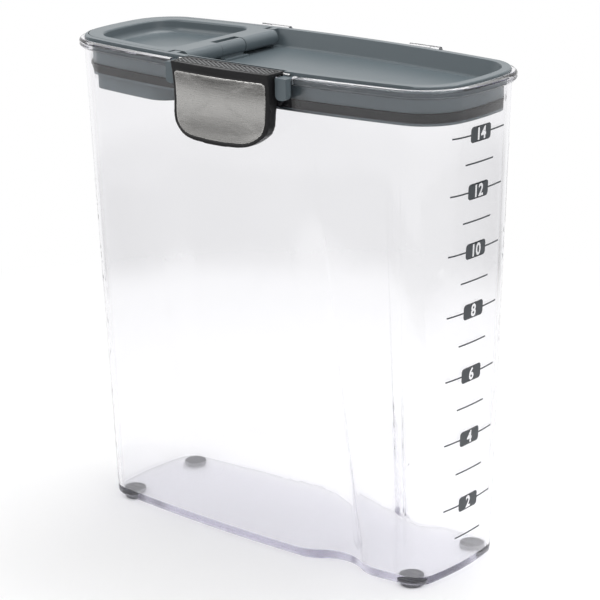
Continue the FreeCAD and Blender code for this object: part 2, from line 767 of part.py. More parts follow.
def make_lid():
    """Tray lid: rim plate and skirt, then the tray, the pour opening and the seats of what moves."""
    body = new_body("lid_base")
    sketch = flat(body, "lid_rim", seat_z)
    RIM.draw(sketch, lid_gap)
    pad(body, sketch, lid_thick)
    round_edges(body, "lid_round", lid_round, lambda edge: level(edge, lid_top))
    sketch = flat(body, "skirt", seat_z - skirt_depth)
    RIM.draw(sketch, skirt_inset)
    pad(body, sketch, skirt_depth)
    sketch = flat(body, "collar", seat_z - collar_depth)
    pour_outline(sketch, -collar_wall)
    pad(body, sketch, collar_depth)
    ear_in = half_width + ear_clear
    root = half_width - skirt_inset
    for span, (left, right) in zip(("left", "right"), ear_spans):
        sketch = lengthwise(body, f"ear_{span}", -ear_in)
        corners = [
            (left, seat_z - ear_drop),
            (right, seat_z - ear_drop),
            (right, lid_top),
            (left, lid_top),
        ]
        polygon(sketch, corners, [ear_round, ear_round, None, None])
        pad(body, sketch, ear_out - ear_in)
        sketch = flat(body, f"ear_root_{span}", seat_z)
        rectangle(sketch, left, right, -ear_out, -root)
        pad(body, sketch, lid_thick)
    lobe_length = (gap_half - hinge_gap) * 2
    sketch = crosswise(body, "hinge_lobe", catch_x)
    rectangle(sketch, root, hinge_y, seat_z, lid_top)
    pad(body, sketch, lobe_length, both=True)
    sketch = crosswise(body, "hinge_eye", catch_x)
    circle(sketch, hinge_y, hinge_z, hinge_radius)
    pad(body, sketch, lobe_length, both=True)
    hinge_bore(body)

    high = flat(body, "tray_high", lid_top)
    RIM.draw_end(high, tray_inset, SCALE_END, -barrel_x)
    low = flat(body, "tray_low", tray_z)
    RIM.draw_end(low, tray_inset + tray_draft, SCALE_END, -barrel_x)
    loft("SubtractiveLoft", body, high, low)

    def tray_edge(edge):
        return level(edge, tray_z) and edge.BoundBox.XLength > SMALL

    round_edges(body, "tray_round", tray_round, tray_edge)
    sketch = flat(body, "hinge_channel", lid_top)
    channel = barrel_half + barrel_end_gap
    hinge_half = barrel_radius + barrel_clear
    rectangle(sketch, -barrel_x - hinge_half, hinge_half - barrel_x, -channel, channel)
    pocket(body, sketch, tray_depth)
    sketch = flat(body, "flap_recess", lid_top)
    FLAP.draw_end(sketch, -flap_clear, POUR_END, -barrel_x - barrel_radius)
    pocket(body, sketch, flap_thick + flap_rise)
    sketch = flat(body, "end_recess", lid_top)
    lip_inset = -flap_end_gap - flap_lip_out - flap_clear
    FLAP.draw_end(sketch, lip_inset, POUR_END, flap_clear - pour_left)
    pocket(body, sketch, flap_thick + flap_rise)
    sketch = flat(body, "seal_seat", lid_top)
    pour_outline(sketch, -seat_width)
    pocket(body, sketch, flap_thick + seat_depth)
    sketch = flat(body, "pour_opening", lid_top)
    pour_outline(sketch, 0)
    pocket(body, sketch)
    sketch = flat(body, "underside", seat_z - skirt_depth)
    RIM.draw_end(sketch, skirt_inset + skirt_wall, SCALE_END, collar_wall * 2 - pour_right)
    pocket(body, sketch, skirt_depth - (tray_depth - lid_thick) - tray_floor, reverse=True)
    sketch = flat(body, "gasket_groove", seat_z - gasket_high)
    RIM.draw(sketch, skirt_inset - seal_gap)
    RIM.draw(sketch, skirt_inset + gasket_bite)
    pocket(body, sketch, gasket_low - gasket_high)

    sketch = flat(body, "latch_channel", lid_top)
    back = latch_barrel + latch_room - latch_pin_y
    rectangle(sketch, latch_left - latch_room, latch_right + latch_room, -tub_width, back)
    pocket(body, sketch, latch_barrel * 2 + latch_room)
    sketch = crosswise(body, "latch_bore", latch_left - pin_bite)
    circle(sketch, -latch_pin_y, latch_z, latch_pin_radius + pin_play)
    pocket(body, sketch, latch_width + pin_bite * 2, reverse=True)

    sketch = lengthwise(body, "knuckle", knuckle_half)
    circle(sketch, -barrel_x, barrel_z, barrel_radius - knuckle_gap / 2)
    pad(body, sketch, knuckle_half * 2)
    sketch = lengthwise(body, "knuckle_web", knuckle_half)
    rectangle(sketch, -barrel_x - barrel_radius / 2, barrel_radius / 2 - barrel_x, tray_z, barrel_z)
    pad(body, sketch, knuckle_half * 2)
    sketch = lengthwise(body, "knuckle_tab", knuckle_half)
    rectangle(sketch, -barrel_x, knuckle_reach - barrel_x, tray_z, tray_z + knuckle_foot)
    pad(body, sketch, knuckle_half * 2)
    sketch = lengthwise(body, "knuckle_bore", knuckle_half)
    circle(sketch, -barrel_x, barrel_z, flap_pin_radius + pin_play)
    pocket(body, sketch, knuckle_half * 2, reverse=True)
    return body


def pour_outline(sketch, inset):
    """The pour opening's outline, pulled in by inset."""
    inset = dim(inset)
    RIM.draw_end(sketch, pour_inset + inset, POUR_END, -pour_right - inset, pour_corner - inset)


def make_main_gasket():
    """Lip seal in the skirt's groove: it widens upwards to a lip near the tub's wall."""
    body = new_body("main_gasket")
    low = flat(body, "seal_low", seat_z - gasket_low + seal_gap)
    RIM.draw(low, skirt_inset - seal_gap)
    high = flat(body, "seal_high", seat_z - gasket_high - seal_gap)
    RIM.draw(high, gasket_lip)
    loft("AdditiveLoft", body, low, high)
    sketch = flat(body, "seal_hole", seat_z)
    RIM.draw(sketch, skirt_inset + gasket_bite - seal_gap)
    pocket(body, sketch)
    return body


def make_flap():
    """Pour flap: plate, end lip and dish, with hinge barrels either side of the lid's knuckle."""
    body = new_body("flap")
    sketch = flat(body, "flap_plate", flap_low)
    FLAP.draw_end(sketch, 0, POUR_END, -flap_stop)
    pad(body, sketch, flap_thick)
    sketch = flat(body, "flap_end", lid_top - flap_lip)
    FLAP.draw_end(sketch, -flap_end_gap - flap_lip_out, POUR_END, -pour_left)
    pad(body, sketch, flap_lip)
    high = flat(body, "dish_outer_high", flap_low)
    pour_outline(high, dish_gap)
    low = flat(body, "dish_outer_low", lid_top - dish_depth - dish_wall)
    pour_outline(low, dish_gap + dish_draft)
    loft("AdditiveLoft", body, high, low)
    sketch = flat(body, "hinge_web", flap_low)
    rectangle(sketch, -flap_stop - barrel_radius, -barrel_x, -barrel_half, barrel_half)
    pad(body, sketch, flap_thick)
    for name, start in (("near", -knuckle_half - knuckle_gap), ("far", barrel_half)):
        sketch = lengthwise(body, f"barrel_{name}", start)
        circle(sketch, -barrel_x, barrel_z, barrel_radius)
        pad(body, sketch, barrel_half - knuckle_half - knuckle_gap)
    sketch = flat(body, "knuckle_notch", lid_top)
    notch = knuckle_half + knuckle_gap
    notch_left = -barrel_x - barrel_radius - barrel_clear
    rectangle(sketch, notch_left, barrel_radius - barrel_x, -notch, notch)
    pocket(body, sketch)
    sketch = lengthwise(body, "flap_bore", barrel_half)
    circle(sketch, -barrel_x, barrel_z, flap_pin_radius + pin_play)
    pocket(body, sketch, barrel_half * 2, reverse=True)
    high = flat(body, "dish_inner_high", lid_top)
    pour_outline(high, dish_gap + dish_wall)
    low = flat(body, "dish_inner_low", lid_top - dish_depth)
    pour_outline(low, dish_gap + dish_wall + dish_draft)
    loft("SubtractiveLoft", body, high, low)

    def dish_edge(edge):
        box = edge.BoundBox
        within = box.XMin > -pour_left.value and box.XMax < -pour_right.value
        return within and level(edge, lid_top)

    round_edges(body, "dish_brim", dish_round, dish_edge)
    dish_floor = lid_top - dish_depth
    round_edges(body, "dish_foot", dish_bottom_round, lambda edge: level(edge, dish_floor))
    return body


def make_flap_gasket():
    """Seal ring under the flap, between its dish and the lid's seat."""
    body = new_body("flap_gasket")
    sketch = flat(body, "ring", lid_top - flap_thick - seat_depth)
    pour_outline(sketch, dish_gap - seal_gap)
    pour_outline(sketch, flap_clear - seat_width)
    pad(body, sketch, seat_depth)
    return body


def make_flap_pin():
    """Steel pin through the barrels and the knuckle."""
    body = new_body("flap_pin")
    sketch = lengthwise(body, "flap_pin_end", barrel_half)
    circle(sketch, -barrel_x, barrel_z, flap_pin_radius)
    pad(body, sketch, barrel_half * 2)
    return body


def make_hinge_pin():
    """Steel pin through the lid's lobe, held in both lugs."""
    body = new_body("lid_hinge_pin")
    sketch = crosswise(body, "hinge_pin_end", catch_x)
    circle(sketch, hinge_y, hinge_z, hinge_pin_radius)
    pad(body, sketch, (gap_half + hinge_bite) * 2, both=True)
    return body


def face_profile(sketch, front, back, high, low):
    """The section of the latch's hollow face between two depths, and the upright line it turns about.

    The face runs from the lid's top down to the toe, drawn in at the waist.
    """
    axis_y = latch_bow - latch_front
    waist_z = lid_top - latch_waist_drop
    line = Part.LineSegment(point(axis_y, low), point(axis_y, high))
    axis = sketch.addGeometry(line, True)
    place(sketch, (axis, START), axis_y, low)
    place(sketch, (axis, END), axis_y, high)
    arcs = []
    for depth in (front, back):
        spots = [(-latch_front, high), (-latch_waist, waist_z), (-latch_toe, low)]
        spots = [(y + depth, z) for y, z in spots]
        curve = Part.Arc(*[point(*spot) for spot in spots])
        arc = sketch.addGeometry(curve)
        mid = sketch.addGeometry(Part.Point(point(*spots[1])), True)
        place(sketch, (mid, START), *spots[1])
        sketch.addConstraint(Sketcher.Constraint("PointOnObject", mid, START, arc))
        first = sketch.getPoint(arc, START)
        starts_high = abs(first.y - high.value) < abs(first.y - low.value)
        top, foot = (START, END) if starts_high else (END, START)
        place(sketch, (arc, top), *spots[0])
        place(sketch, (arc, foot), *spots[2])
        arcs.append((arc, top, foot, spots))
    (one, one_top, one_foot, one_spots), (two, two_top, two_foot, two_spots) = arcs
    for one_end, two_end, spot in ((one_top, two_top, 0), (one_foot, two_foot, 2)):
        line = sketch.addGeometry(Part.LineSegment(point(*one_spots[spot]), point(*two_spots[spot])))
        link(sketch, "Coincident", line, START, one, one_end)
        link(sketch, "Coincident", line, END, two, two_end)


def bowed_face(body, name, front, back, high, low):
    """Turns the face section about its upright line, which bows the face in plan."""
    sketch = crosswise(body, name, catch_x)
    face_profile(sketch, dim(front), dim(back), high, low)
    feature = body.newObject("PartDesign::Revolution", f"{name}_turn")
    feature.Profile = sketch
    feature.ReferenceAxis = (sketch, ["Axis0"])
    feature.Midplane = True
    feature.Angle = latch_sweep.value
    feature.setExpression("Angle", latch_sweep.text)


def trim_face(body, name, inset, top, top_bend=None):
    """Cuts a latch's face to a shield: drawn in towards the foot, with round lower corners."""
    inset = dim(inset)
    sketch = lengthwise(body, name, 0)
    low = lid_top - latch_drop + inset
    half = latch_half - inset
    foot_half = half - latch_foot_inset
    left, right = catch_x - latch_width, catch_x + latch_width
    rectangle(sketch, left, right, low - latch_width, lid_top + latch_width)
    corners = [
        (catch_x - foot_half, low),
        (catch_x + foot_half, low),
        (catch_x + half, top),
        (catch_x - half, top),
    ]
    bend = latch_corner - inset
    polygon(sketch, corners, [bend, bend, top_bend, top_bend])
    pocket(body, sketch, tub_width, reverse=True)


def make_latch():
    """The latch: lever with barrel, hook and bowed face, grip pad, face plate and pin."""
    face_low = lid_top - latch_drop
    blank = new_body("latch_blank")
    bowed_face(blank, "lever_face", 0, latch_deep, lid_top, face_low)
    trim_face(blank, "lever_trim", 0, lid_top + latch_deep)
    sketch = crosswise(blank, "lever_top", catch_x)
    back, front = -latch_pin_y, latch_deep - latch_front
    low = lid_top - latch_top_thick
    rectangle(sketch, front, back, low, lid_top)
    pad(blank, sketch, latch_width, both=True)
    sketch = crosswise(blank, "lever_barrel", catch_x)
    circle(sketch, -latch_pin_y, latch_z, latch_barrel)
    pad(blank, sketch, latch_width, both=True)
    sketch = crosswise(blank, "hook", catch_x)
    hook_high = seat_z - catch_drop - catch_height - hook_gap
    rectangle(sketch, latch_deep / 2 - latch_waist, -hook_out, hook_high - hook_thick, hook_high)
    pad(blank, sketch, hook_width, both=True)
    sketch = crosswise(blank, "lever_bore", catch_x)
    circle(sketch, -latch_pin_y, latch_z, latch_pin_radius + pin_play)
    pocket(blank, sketch, latch_width * 2, both=True)
    sketch = flat(blank, "grip_seat", lid_top)
    grip_outline(sketch)
    pocket(blank, sketch, grip_thick)

    grip = new_body("near_latch_grip")
    sketch = flat(grip, "grip_pad", lid_top - grip_thick)
    grip_outline(sketch)
    pad(grip, sketch, grip_thick)

    plate = new_body("near_latch_plate")
    bowed_face(plate, "plate_face", -plate_proud, plate_thick - plate_proud, lid_top, face_low)
    trim_face(plate, "plate_trim", plate_edge, lid_top - plate_top, plate_corner)

    lever = doc.addObject("Part::Cut", "near_latch_lever")
    lever.Label = "near_latch_lever"
    lever.Base = blank
    lever.Tool = plate

    pin = new_body("near_latch_pin")
    sketch = crosswise(pin, "latch_pin_end", catch_x)
    circle(sketch, -latch_pin_y, latch_z, latch_pin_radius)
    pad(pin, sketch, latch_width + pin_bite * 2, both=True)
    return [lever, grip, plate, pin]


def grip_outline(sketch):
    """The pad on top of the lever, a little inside its edges."""
    left, right = latch_left + grip_edge, latch_right - grip_edge
    back = -latch_pin_y - latch_barrel
    front = grip_edge * 2 - latch_front
    rectangle(sketch, left, right, front, back)


pieces = [make_tub(), *make_feet(), make_lid(), make_main_gasket()]
pieces += [make_flap(), make_flap_gasket(), make_flap_pin()]
pieces += [make_hinge_pin(), *make_latch()]
doc.recompute()

for item in doc.Objects:
    if {"Invalid", "Error"} & set(item.State):
        raise RuntimeError(f"{item.Label} failed: {item.State}")
for piece in pieces:
    if piece.Shape.isNull() or not piece.Shape.isValid():
        raise RuntimeError(f"{piece.Label} has no valid shape")

os.makedirs("parts", exist_ok=True)
for piece in pieces:
    solids = len(piece.Shape.Solids)
    print(f"{piece.Label}: {solids} solid, {piece.Shape.Volume / 1000:.2f} ml")
    shape = piece.Shape.copy()
    shape.translate(FreeCAD.Vector(0, -middle_y.value, 0))
    shape.exportStep(os.path.join("parts", f"{piece.Label}.step"))
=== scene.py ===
"""Looks of a tall clear food canister with a latched tray lid and a hinged pour flap.

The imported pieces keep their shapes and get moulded, brushed and rubber finishes. The latch's soft-edged
lever and face plate, its ridged grip pad and the printed measuring scale are modelled here. Sizes are in
millimetres, and those of the studio in metres.
"""

from __future__ import annotations

import json
import logging
import math
from dataclasses import dataclass
from enum import Enum
from typing import Callable, Sequence, Union

import bpy
from mathutils import Matrix, Vector

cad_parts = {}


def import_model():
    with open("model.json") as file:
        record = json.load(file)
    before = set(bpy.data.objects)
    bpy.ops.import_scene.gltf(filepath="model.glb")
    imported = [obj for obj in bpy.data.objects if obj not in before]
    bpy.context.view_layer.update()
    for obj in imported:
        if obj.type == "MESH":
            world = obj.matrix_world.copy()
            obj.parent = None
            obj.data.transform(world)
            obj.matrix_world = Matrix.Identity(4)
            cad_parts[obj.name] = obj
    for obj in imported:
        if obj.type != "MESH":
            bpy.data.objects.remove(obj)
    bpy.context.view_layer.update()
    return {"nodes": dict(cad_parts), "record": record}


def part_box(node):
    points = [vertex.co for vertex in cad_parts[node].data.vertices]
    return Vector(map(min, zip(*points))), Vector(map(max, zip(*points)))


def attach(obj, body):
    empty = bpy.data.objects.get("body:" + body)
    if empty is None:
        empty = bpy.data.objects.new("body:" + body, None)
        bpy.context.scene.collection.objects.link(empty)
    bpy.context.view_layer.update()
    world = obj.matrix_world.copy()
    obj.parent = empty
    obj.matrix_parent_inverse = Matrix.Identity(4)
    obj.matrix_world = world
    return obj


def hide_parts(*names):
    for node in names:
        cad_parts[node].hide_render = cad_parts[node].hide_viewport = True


LOG = logging.getLogger("canister")
MM = 0.001
# How far the tub's middle lies behind the origin, because the latch stands out in front
TUB_MIDDLE = 4.75
# How near points lie that are merged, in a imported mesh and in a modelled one
PACKED_MERGE = 0.01
MODELLED_MERGE = 0.001
# How many rays look for an edge that is to seem rounded
EDGE_SAMPLES = 6
# The height of a digit as a share of its text's size
DIGIT_SHARE = 0.7
# The length of a curve's handle that bends it into a quarter circle, as a share of the radius
CIRCLE_HOLD = 0.5523
# The count of mirrorings is below this for a ray that no piece has mirrored
FIRST_MIRROR = 0.5
WHITE = (1.0, 1.0, 1.0, 1.0)

Colour = tuple[float, float, float]
Number = Union[int, float]
Stops = tuple[tuple[float, float], ...]


class Step(Enum):
    """The sums that shader values take part in."""

    ADD = "ADD"
    SUBTRACT = "SUBTRACT"
    MULTIPLY = "MULTIPLY"
    MAXIMUM = "MAXIMUM"
    LESS_THAN = "LESS_THAN"


class Tone:
    """A shader value that sums can be written with."""

    def __init__(self, graph: "Graph", socket: bpy.types.NodeSocket) -> None:
        """Holds a socket and the graph that its sums are added to.

        Args:
            graph: The graph that the socket's node is in.
            socket: The output socket to read.
        """
        self.graph = graph
        self.socket = socket

    def step(self, kind: Step, first: "Value", second: "Value") -> "Tone":
        """Adds one sum to the graph.

        Args:
            kind: The sum to make.
            first: Its first value.
            second: Its second value.

        Returns:
            The sum's own value.
        """
        node = self.graph.node("ShaderNodeMath", {"operation": kind.value}, {0: first, 1: second})
        return Tone(self.graph, node.outputs[0])

    def __add__(self, other: "Value") -> "Tone":
        """This value and another, added."""
        return self.step(Step.ADD, self, other)

    def __radd__(self, other: Number) -> "Tone":
        """A number and this value, added."""
        return self.step(Step.ADD, other, self)

    def __sub__(self, other: "Value") -> "Tone":
        """This value less another."""
        return self.step(Step.SUBTRACT, self, other)

    def __rsub__(self, other: Number) -> "Tone":
        """A number less this value."""
        return self.step(Step.SUBTRACT, other, self)

    def __mul__(self, other: "Value") -> "Tone":
        """This value times another."""
        return self.step(Step.MULTIPLY, self, other)

    def __rmul__(self, other: Number) -> "Tone":
        """A number times this value."""
        return self.step(Step.MULTIPLY, other, self)

    def __lt__(self, other: "Value") -> "Tone":
        """1 where this value is less than another, and 0 elsewhere."""
        return self.step(Step.LESS_THAN, self, other)

    def larger(self, other: "Value") -> "Tone":
        """The larger of this value and another."""
        return self.step(Step.MAXIMUM, self, other)

    def swing(self, reach: float) -> "Tone":
        """A value from 0 to 1, made to stray from 0 by half the reach either way."""
        return (self - 0.5) * reach


Value = Union[Tone, Number]
Input = Union[Tone, Number, Sequence[float], bpy.types.NodeSocket]


class Graph:
    """The node graph of one material or of the world."""

    def __init__(self, tree: bpy.types.NodeTree) -> None:
        """Empties a node tree to build in.

        Args:
            tree: The tree of a material or a world.
        """
        self.tree = tree
        self.tree.nodes.clear()

    def node(
        self,
        kind: str,
        settings: dict[str, object] | None = None,
        sockets: dict[str | int, Input] | None = None,
    ) -> bpy.types.Node:
        """Adds one node.

        Args:
            kind: The node's type.
            settings: Its settings, by name. A ramp's stops are given as "stops".
            sockets: The values or links of its inputs, by name or place.

        Returns:
            The node.
        """
        made = self.tree.nodes.new(kind)
        for name, value in (settings or {}).items():
            if name == "stops":
                self.set_stops(made, value)
            else:
                setattr(made, name, value)
        for key, value in (sockets or {}).items():
            if isinstance(value, Tone):
                value = value.socket
            if isinstance(value, bpy.types.NodeSocket):
                self.tree.links.new(value, made.inputs[key])
            else:
                made.inputs[key].default_value = value
        return made

    @staticmethod
    def set_stops(ramp: bpy.types.Node, stops: Stops) -> None:
        """Sets a colour ramp's grey stops.

        Args:
            ramp: The ramp's node.
            stops: Each stop's place and level.
        """
        elements = ramp.color_ramp.elements
        while len(elements) < len(stops):
            elements.new(1.0)
        for element, (place, level) in zip(elements, stops):
            element.position = place
            element.color = (level, level, level, 1)

    def place(self, stretch: Sequence[float] = (1, 1, 1)) -> bpy.types.NodeSocket:
        """The object's own coordinates, stretched along each axis.

        Args:
            stretch: How many times finer a pattern is along each axis.

        Returns:
            The coordinates.
        """
        coordinates = self.node("ShaderNodeTexCoord").outputs["Object"]
        mapping = self.node("ShaderNodeMapping", None, {"Vector": coordinates, "Scale": stretch})
        return mapping.outputs[0]

    def height(self, place: bpy.types.NodeSocket) -> Tone:
        """The upward part of a place or a direction."""
        return Tone(self, self.node("ShaderNodeSeparateXYZ", None, {0: place}).outputs["Z"])

    def noise(self, grain: float, detail: float, stretch: Sequence[float] = (1, 1, 1)) -> Tone:
        """A cloudy value between 0 and 1.

        Args:
            grain: The size of its patches.
            detail: How many finer layers it has.
            stretch: How many times finer it is along each axis.

        Returns:
            The value.
        """
        sockets = {"Vector": self.place(stretch), "Scale": 1 / (grain * MM), "Detail": detail}
        return Tone(self, self.node("ShaderNodeTexNoise", None, sockets).outputs["Fac"])

    def ramp(self, value: Tone, stops: Stops) -> Tone:
        """A value read through a ramp of grey stops."""
        made = self.node("ShaderNodeValToRGB", {"stops": stops}, {"Fac": value})
        return Tone(self, made.outputs["Color"])

    def mix(self, share: Value, first: Input, second: Input) -> bpy.types.NodeSocket:
        """A colour between two others.

        Args:
            share: How much of the second colour shows, from 0 to 1.
            first: The colour at 0.
            second: The colour at 1.

        Returns:
            The mixed colour.
        """
        made = self.node("ShaderNodeMix", {"data_type": "RGBA"}, {0: share, 6: first, 7: second})
        return made.outputs[2]

    def bump(self, relief: Tone, depth: float, edge: float = 0.0) -> bpy.types.NodeSocket:
        """A normal with a relief, and with rounded edges where asked.

        Args:
            relief: The relief, from 0 to 1.
            depth: The relief's depth.
            edge: The radius that sharp edges seem to have.

        Returns:
            The normal.
        """
        sockets: dict[str | int, Input] = {"Height": relief, "Distance": depth * MM}
        if edge:
            soft = self.node("ShaderNodeBevel", {"samples": EDGE_SAMPLES}, {"Radius": edge * MM})
            sockets["Normal"] = soft.outputs[0]
        return self.node("ShaderNodeBump", None, sockets).outputs[0]


def rgba(colour: Colour) -> tuple[float, float, float, float]:
    """A colour with full alpha."""
    return (*colour, 1.0)


def lighter(colour: Colour, times: float) -> tuple[float, float, float, float]:
    """A colour made lighter or darker by a factor, with full alpha."""
    return (*(min(1.0, part * times) for part in colour), 1.0)


@dataclass(frozen=True)
class Finish:
    """What every finish has: a name, a colour and a roughness."""

    name: str
    colour: Colour
    roughness: float

    def build(self) -> bpy.types.Material:
        """Makes the finish's material.

        Returns:
            The material.
        """
        material = bpy.data.materials.new(self.name)
        material.use_nodes = True
        graph = Graph(material.node_tree)
        shader = graph.node("ShaderNodeBsdfPrincipled", None, self.sockets(graph))
        surface = self.surface(graph, shader.outputs[0])
        graph.node("ShaderNodeOutputMaterial", None, {"Surface": surface, **self.depth(graph)})
        return material

    def mottled(self, graph: Graph, share: Value, shades: tuple[float, float]) -> bpy.types.NodeSocket:
        """The colour, mixed between a darker and a lighter shade of itself.

        Args:
            graph: The graph to add to.
            share: How much of the lighter shade shows.
            shades: How many times as light as the colour each shade is.

        Returns:
            The mixed colour.
        """
        dark, light = (lighter(self.colour, times) for times in shades)
        return graph.mix(share, dark, light)

    def sockets(self, graph: Graph) -> dict[str | int, Input]:
        """The values and links of the shader's sockets."""
        return {"Base Color": rgba(self.colour), "Roughness": self.roughness}

    def surface(self, graph: Graph, shader: bpy.types.NodeSocket) -> bpy.types.NodeSocket:
        """The shader that shows, which is the plain one unless a finish adds to it."""
        return shader

    def depth(self, graph: Graph) -> dict[str | int, Input]:
        """What fills the solid, which is nothing unless a finish says so."""
        return {}


@dataclass(frozen=True)
class MouldedPlastic(Finish):
    """Injection-moulded plastic with a fine eroded grain and slightly rounded edges."""

    grain: float = 0.35
    cloud: float = 45.0
    layers: int = 3
    cloud_share: float = 0.7
    shades: tuple[float, float] = (0.88, 1.12)
    grain_gloss: float = 0.12
    cloud_gloss: float = 0.1
    relief: float = 0.02
    edge: float = 0.35
    shine: float = 0.5
    index: float = 1.5

    def sockets(self, graph: Graph) -> dict[str | int, Input]:
        """The values and links of the shader's sockets.

        Args:
            graph: The graph to add to.

        Returns:
            The values and links, by socket.
        """
        fine = graph.noise(self.grain, self.layers)
        broad = graph.noise(self.cloud, self.layers)
        share = broad * self.cloud_share + fine * (1 - self.cloud_share)
        return {
            "Base Color": self.mottled(graph, share, self.shades),
            "Roughness": self.roughness + fine.swing(self.grain_gloss) + broad.swing(self.cloud_gloss),
            "Normal": graph.bump(fine, self.relief, self.edge),
            "IOR": self.index,
            "Specular IOR Level": self.shine,
        }


@dataclass(frozen=True)
class ClearPlastic(Finish):
    """Clear moulded plastic that darkens where the eye looks along its walls."""

    index: float = 1.52
    tint: Colour = (0.5, 0.47, 0.65)
    density: float = 13.0
    shade: Colour = (0.93, 0.93, 0.94)
    flow: float = 38.0
    flow_layers: int = 2
    flow_stretch: tuple[float, float, float] = (1, 1, 0.45)
    flow_depth: float = 0.06
    haze: float = 9.0
    haze_layers: int = 4
    haze_gloss: float = 0.03
    base: tuple[float, float] = (4.0, 9.0)
    base_gloss: float = 0.2

    def sockets(self, graph: Graph) -> dict[str | int, Input]:
        """The values and links of the shader's sockets, with a hazier base.

        Args:
            graph: The graph to add to.

        Returns:
            The values and links, by socket.
        """
        flow = graph.noise(self.flow, self.flow_layers, self.flow_stretch)
        haze = graph.noise(self.haze, self.haze_layers)
        low, high = self.base
        height = graph.height(graph.place()) * (1 / MM)
        base = graph.ramp((height - low) * (1 / (high - low)), ((0.0, 1.0), (1.0, 0.0)))
        return {
            "Base Color": rgba(self.colour),
            "Roughness": self.roughness + haze * self.haze_gloss + base * self.base_gloss,
            "Normal": graph.bump(flow, self.flow_depth),
            "IOR": self.index,
            "Transmission Weight": 1.0,
        }

    def surface(self, graph: Graph, shader: bpy.types.NodeSocket) -> bpy.types.NodeSocket:
        """The shader, which lets the lamps' light through to what is behind it.

        Args:
            graph: The graph to add to.
            shader: The plain shader.

        Returns:
            The shader that shows.
        """
        lamp = graph.node("ShaderNodeLightPath").outputs["Is Shadow Ray"]
        through = graph.node("ShaderNodeBsdfTransparent", None, {"Color": rgba(self.shade)})
        shown = graph.node("ShaderNodeMixShader", None, {0: lamp, 1: shader, 2: through.outputs[0]})
        return shown.outputs[0]

    def depth(self, graph: Graph) -> dict[str | int, Input]:
        """A faint violet grey that deepens with the length of plastic looked through."""
        sockets = {"Color": rgba(self.tint), "Density": self.density}
        return {"Volume": graph.node("ShaderNodeVolumeAbsorption", None, sockets).outputs[0]}


@dataclass(frozen=True)
class BrushedSteel(Finish):
    """Stainless sheet with short and long brush lines along its length."""

    line: float = 0.22
    line_layers: int = 3
    line_stretch: tuple[float, float, float] = (0.006, 1, 1)
    line_share: float = 0.65
    long_times: float = 3.0
    long_layers: int = 2
    long_stretch: tuple[float, float, float] = (0.004, 1, 1)
    contrast: Stops = ((0.3, 0.0), (0.7, 1.0))
    shades: tuple[float, float] = (0.86, 1.14)
    streak_gloss: float = 0.1
    streak_depth: float = 0.006
    cloud: float = 14.0
    cloud_layers: int = 2
    cloud_gloss: float = 0.05
    edge: float = 0.3
    anisotropy: float = 0.55

    def sockets(self, graph: Graph) -> dict[str | int, Input]:
        """The values and links of the shader's sockets.

        Args:
            graph: The graph to add to.

        Returns:
            The values and links, by socket.
        """
        lines = graph.noise(self.line, self.line_layers, self.line_stretch)
        long_lines = graph.noise(self.line * self.long_times, self.long_layers, self.long_stretch)
        broad = graph.noise(self.cloud, self.cloud_layers)
        both = lines * self.line_share + long_lines * (1 - self.line_share)
        streak = graph.ramp(both, self.contrast)
        return {
            "Base Color": self.mottled(graph, streak, self.shades),
            "Metallic": 1.0,
            "Roughness": self.roughness + streak.swing(self.streak_gloss) + broad.swing(self.cloud_gloss),
            "Normal": graph.bump(streak, self.streak_depth, self.edge),
            "Anisotropic": self.anisotropy,
        }


@dataclass(frozen=True)
class Rubber(Finish):
    """Matt rubber or silicone with a dusty, slightly uneven skin."""

    grain: float = 0.5
    speck: float = 1.1
    layers: int = 4
    specks: Stops = ((0.6, 0.0), (0.78, 1.0))
    dust: float = 0.35
    shades: tuple[float, float] = (0.9, 2.2)
    grain_gloss: float = 0.15
    relief: float = 0.03
    edge: float = 0.25
    shine: float = 0.35
    clear: float = 0.0

    def sockets(self, graph: Graph) -> dict[str | int, Input]:
        """The values and links of the shader's sockets.

        Args:
            graph: The graph to add to.

        Returns:
            The values and links, by socket.
        """
        fine = graph.noise(self.grain, self.layers)
        specks = graph.ramp(graph.noise(self.speck, self.layers), self.specks)
        return {
            "Base Color": self.mottled(graph, specks * self.dust, self.shades),
            "Roughness": self.roughness + fine.swing(self.grain_gloss),
            "Normal": graph.bump(fine, self.relief, self.edge),
            "Specular IOR Level": self.shine,
            "Transmission Weight": self.clear,
        }


@dataclass(frozen=True)
class PrintInk(Finish):
    """Screen-printed ink: flat, with a faint mesh grain."""

    mesh: float = 0.25
    layers: int = 2
    shades: tuple[float, float] = (0.9, 1.15)
    mesh_gloss: float = 0.1
    relief: float = 0.006

    def sockets(self, graph: Graph) -> dict[str | int, Input]:
        """The values and links of the shader's sockets.

        Args:
            graph: The graph to add to.

        Returns:
            The values and links, by socket.
        """
        mesh = graph.noise(self.mesh, self.layers)
        return {
            "Base Color": self.mottled(graph, mesh, self.shades),
            "Roughness": self.roughness + mesh.swing(self.mesh_gloss),
            "Normal": graph.bump(mesh, self.relief),
        }


CLEAR_PLASTIC = ClearPlastic("clear_plastic", (0.985, 0.985, 0.99), 0.015)
GREY_PLASTIC = MouldedPlastic("grey_plastic", (0.1, 0.125, 0.139), 0.34)
SILICONE = Rubber("silicone", (0.012, 0.012, 0.014), 0.55, shine=0.2)
FOOT_RUBBER = Rubber("foot_rubber", (0.34, 0.34, 0.37), 0.3, dust=0.15, clear=0.6)
BLACK_PLASTIC = MouldedPlastic("black_plastic", (0.011, 0.011, 0.012), 0.36, relief=0.015, shine=0.28)
BLACK_RUBBER = Rubber("black_rubber", (0.022, 0.022, 0.024), 0.55, dust=0.5)
# The ridges' lighter grey is a painted highlight that stands in for the light their tops catch from
# above; only its dust specks are real dust
PAINTED_HIGHLIGHT_RUBBER = Rubber("painted_highlight_rubber", (0.105, 0.107, 0.11), 0.5, dust=0.3)
BRUSHED_STEEL = BrushedSteel("brushed_steel", (0.6, 0.59, 0.575), 0.26)
STEEL = BrushedSteel("steel", (0.6, 0.6, 0.6), 0.25, line=0.3)
